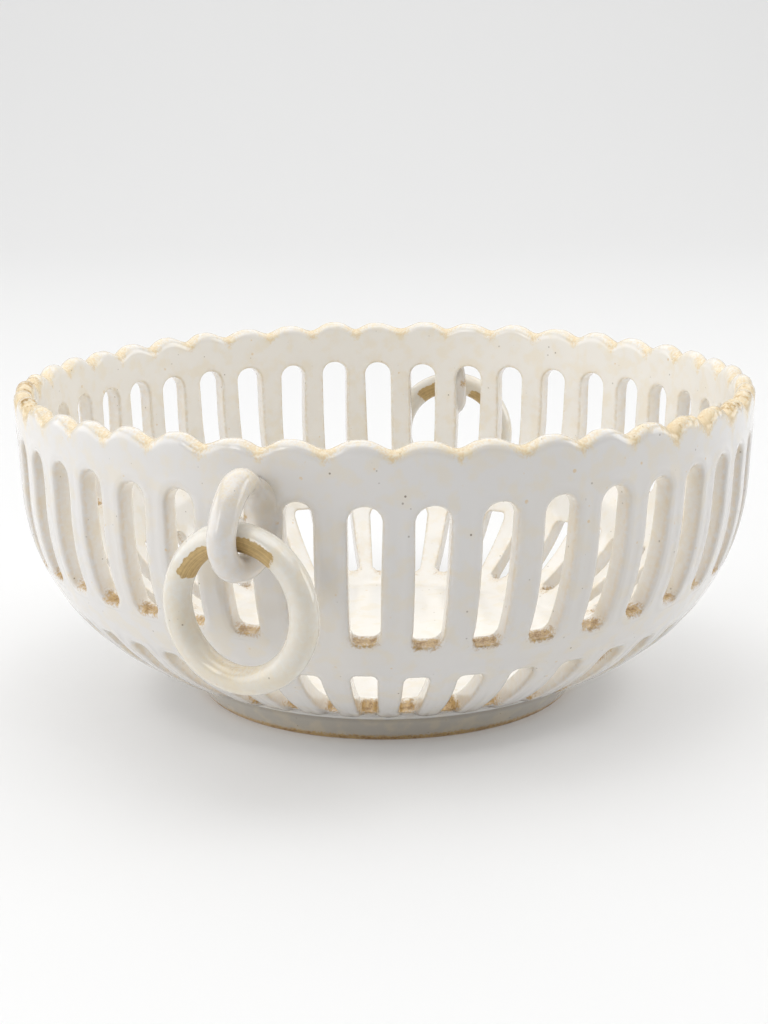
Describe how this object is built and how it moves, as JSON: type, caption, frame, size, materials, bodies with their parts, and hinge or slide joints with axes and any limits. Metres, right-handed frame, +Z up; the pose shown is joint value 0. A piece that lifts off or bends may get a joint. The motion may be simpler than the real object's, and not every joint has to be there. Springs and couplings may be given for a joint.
{
  "type": "openwork ceramic basket",
  "caption": "Round openwork pottery basket with a scalloped rim, upright slots and a plain foot, and a loose ring handle hanging in a clay loop on either side.",
  "frame": {"origin": "centre of the foot's underside, on the surface that the basket stands on", "axes": "+Z up through the middle of the bowl, +X towards the rear loop and ring, -X towards the front loop and ring"},
  "size_m": [0.2857, 0.2398, 0.106],
  "materials": {
    "bowl_glaze": "glossy cream-white lead glaze, stained tan along the rim and in the slots",
    "foot_glaze": "glossy cream-white glaze, worn to tan clay along the standing edge",
    "ring_glaze": "glossy cream glaze with matt brown worn patches beside the loop"
  },
  "bodies": {
    "basket": {"pierced_bowl": "bowl_glaze", "foot_ring": "foot_glaze", "front_loop": "bowl_glaze", "rear_loop": "bowl_glaze"},
    "front_handle": {"front_ring": "ring_glaze"},
    "rear_handle": {"rear_ring": "ring_glaze"}
  },
  "joints": [
    {"name": "front_ring_swing", "type": "hinge", "parent": "basket", "child": "front_handle", "pos_m": [-0.13039, 0.0024, 0.08125], "axis": [0.196, 0.9806, 0], "range_deg": [-17, 188]},
    {"name": "rear_ring_swing", "type": "hinge", "parent": "basket", "child": "rear_handle", "pos_m": [0.12994, 0.01054, 0.08025], "axis": [0.2113, -0.9774, 0], "range_deg": [-18, 189]}
  ]
}
